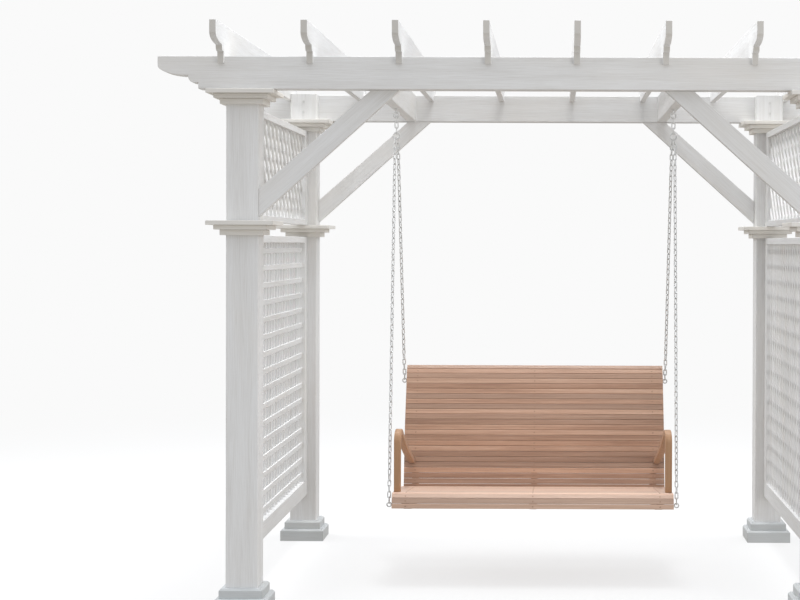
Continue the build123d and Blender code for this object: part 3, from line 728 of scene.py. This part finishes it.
def make_floor():
    """A plain pale floor that fades into the backdrop."""
    bm = bmesh.new()
    bmesh.ops.create_grid(bm, x_segments=1, y_segments=1, size=FLOOR_HALF)
    mesh = bpy.data.meshes.new("floor")
    bm.to_mesh(mesh)
    bm.free()
    n = Nodes("floor")
    place = n.add("ShaderNodeTexCoord").outputs["Object"]
    reach = n.add("ShaderNodeVectorMath", operation="LENGTH")
    n.link(place, reach.inputs[0])
    far = n.add("ShaderNodeMapRange", interpolation_type="SMOOTHSTEP")
    n.link(reach.outputs["Value"], far.inputs["Value"])
    far.inputs["From Min"].default_value, far.inputs["From Max"].default_value = FLOOR_FADE
    far = far.outputs["Result"]
    n.link(n.mix(far, FLOOR_COLOUR, (0, 0, 0)), n.shader.inputs["Base Color"])
    n.link(n.mix(far, (FLOOR_GLOW,) * 3, BACKDROP), n.shader.inputs["Emission Color"])
    n.shader.inputs["Emission Strength"].default_value = 1.0
    n.shader.inputs["Roughness"].default_value = 0.9
    n.shader.inputs["Specular IOR Level"].default_value = 0.0
    mesh.materials.append(n.material)
    floor = bpy.data.objects.new("floor", mesh)
    scene.collection.objects.link(floor)
    floor.visible_diffuse = False
    floor.visible_glossy = False


def make_world():
    """A white backdrop, and a soft sky: brightest overhead, dimmest in front, warm below."""
    world = bpy.data.worlds.new("studio")
    world.use_nodes = True
    scene.world = world
    tree = world.node_tree

    def ramp(source, limits, first, second):
        """Go from one colour to another between two values."""
        share = tree.nodes.new("ShaderNodeMapRange")
        tree.links.new(source, share.inputs["Value"])
        share.inputs["From Min"].default_value, share.inputs["From Max"].default_value = limits
        return blend(share.outputs["Result"], first, second)

    def blend(factor, first, second):
        """Mix two colours, each a plain value or a socket."""
        node = tree.nodes.new("ShaderNodeMix")
        node.data_type = "RGBA"
        tree.links.new(factor, node.inputs["Factor"])
        for name, value in (("A", first), ("B", second)):
            if isinstance(value, tuple):
                node.inputs[name].default_value = (*value, 1.0)
            else:
                tree.links.new(value, node.inputs[name])
        return node.outputs["Result"]

    place = tree.nodes.new("ShaderNodeTexCoord")
    split = tree.nodes.new("ShaderNodeSeparateXYZ")
    tree.links.new(place.outputs["Generated"], split.inputs[0])
    sides = ramp(split.outputs["Y"], FRONT_TO_BACK, SKY_FRONT, SKY_BACK)
    sky = ramp(split.outputs["Z"], SIDES_TO_TOP, sides, SKY_TOP)
    whole = ramp(split.outputs["Z"], HORIZON, GROUND_LIGHT, sky)
    eye = tree.nodes.new("ShaderNodeLightPath")
    seen = blend(eye.outputs["Is Camera Ray"], whole, BACKDROP)
    tree.links.new(seen, tree.nodes["Background"].inputs["Color"])


def area_light(name, place, aim, size, power, colour):
    """A soft box that points at a place on the object and isn't seen itself."""
    data = bpy.data.lights.new(name, "AREA")
    data.shape = "RECTANGLE"
    data.size, data.size_y = size
    data.energy = power
    data.color = colour
    light = bpy.data.objects.new(name, data)
    light.location = place
    light.rotation_euler = (Vector(aim) - Vector(place)).to_track_quat("-Z", "Y").to_euler()
    light.visible_camera = False
    scene.collection.objects.link(light)


# --- Build ----------------------------------------------------------------------------------
scene.view_settings.view_transform = "Standard"
make_camera()

WHITE = whitewashed_wood("whitewashed_wood", 1.0, (1.0, 1.0, 1.0))
# The bases get a darker, cooler copy of the white wash: painted shade at the foot of the posts.
SHADED_BASE_WHITE = whitewashed_wood("base_white_painted_shade", 0.80, (0.95, 0.985, 1.0))
# The collars and capitals get a lighter, warmer copy of the white wash: painted warm bounce light
# from the ground.
BOUNCE_LIT_TRIM = whitewashed_wood("trim_white_painted_bounce", 1.04, (1.0, 0.975, 0.93))
BACK_CEDAR = cedar("cedar", 0.98, (0.50, 0.32, 0.22), 0.1)
# The seat slats get a lighter, paler copy of the cedar: painted light from above and painted
# sheen of the sky.
SEAT_LIT_CEDAR = cedar("seat_cedar_painted_sheen", 1.18, (0.66, 0.52, 0.43), 0.35)
ARM_CEDAR = cedar("arm_cedar", 1.08, (0.52, 0.28, 0.12), 0.6)
ZINC = galvanised()

for corner in CORNERS:
    timber(f"post_{corner}", WHITE, POST_EASE)
    timber(f"brace_{corner}", WHITE, BRACE_EASE)
    moulding(f"base_{corner}", BASE_TIERS, BASE_BEVEL, SHADED_BASE_WHITE)
    moulding(f"collar_{corner}", COLLAR_TIERS, TIER_BEVEL, BOUNCE_LIT_TRIM)
    moulding(f"capital_{corner}", COLLAR_TIERS, TIER_BEVEL, BOUNCE_LIT_TRIM)
for beam in ("front_beam", "rear_beam"):
    timber(beam, WHITE, BEAM_EASE)
for number in range(1, RAFTERS + 1):
    timber(f"rafter_{number}", WHITE, RAFTER_EASE)
for side in SIDES:
    timber(f"swing_joist_{side}", WHITE, JOIST_EASE)
    for level in ("lower", "upper"):
        panel_frame(level, side, WHITE)
        timber(f"{level}_lattice_{side}", WHITE, LATTICE_EASE)
    bent_arm(f"arm_{side}", ARM_CEDAR)
    for kind in ("front", "rear"):
        chain(f"{kind}_chain_{side}", ZINC)
    chain(f"hanger_{side}", ZINC)
for place in ("left", "centre", "right"):
    timber(f"seat_rib_{place}", BACK_CEDAR, RIB_EASE, principal=True)
    timber(f"back_rib_{place}", BACK_CEDAR, RIB_EASE, principal=True)
timber("seat_slats", SEAT_LIT_CEDAR, SLAT_EASE)
timber("back_slats", BACK_CEDAR, SLAT_EASE)
keep_cad("joist_eye_bolts", ZINC)
keep_cad("bench_eye_bolts", ZINC)
screw_heads("slat_screws", coated_screw("coated_steel", (0.34, 0.215, 0.145)))
screw_heads("frame_screws", coated_screw("painted_steel", (0.66, 0.66, 0.65)))

make_floor()
make_world()
for light in LIGHTS:
    area_light(*light)
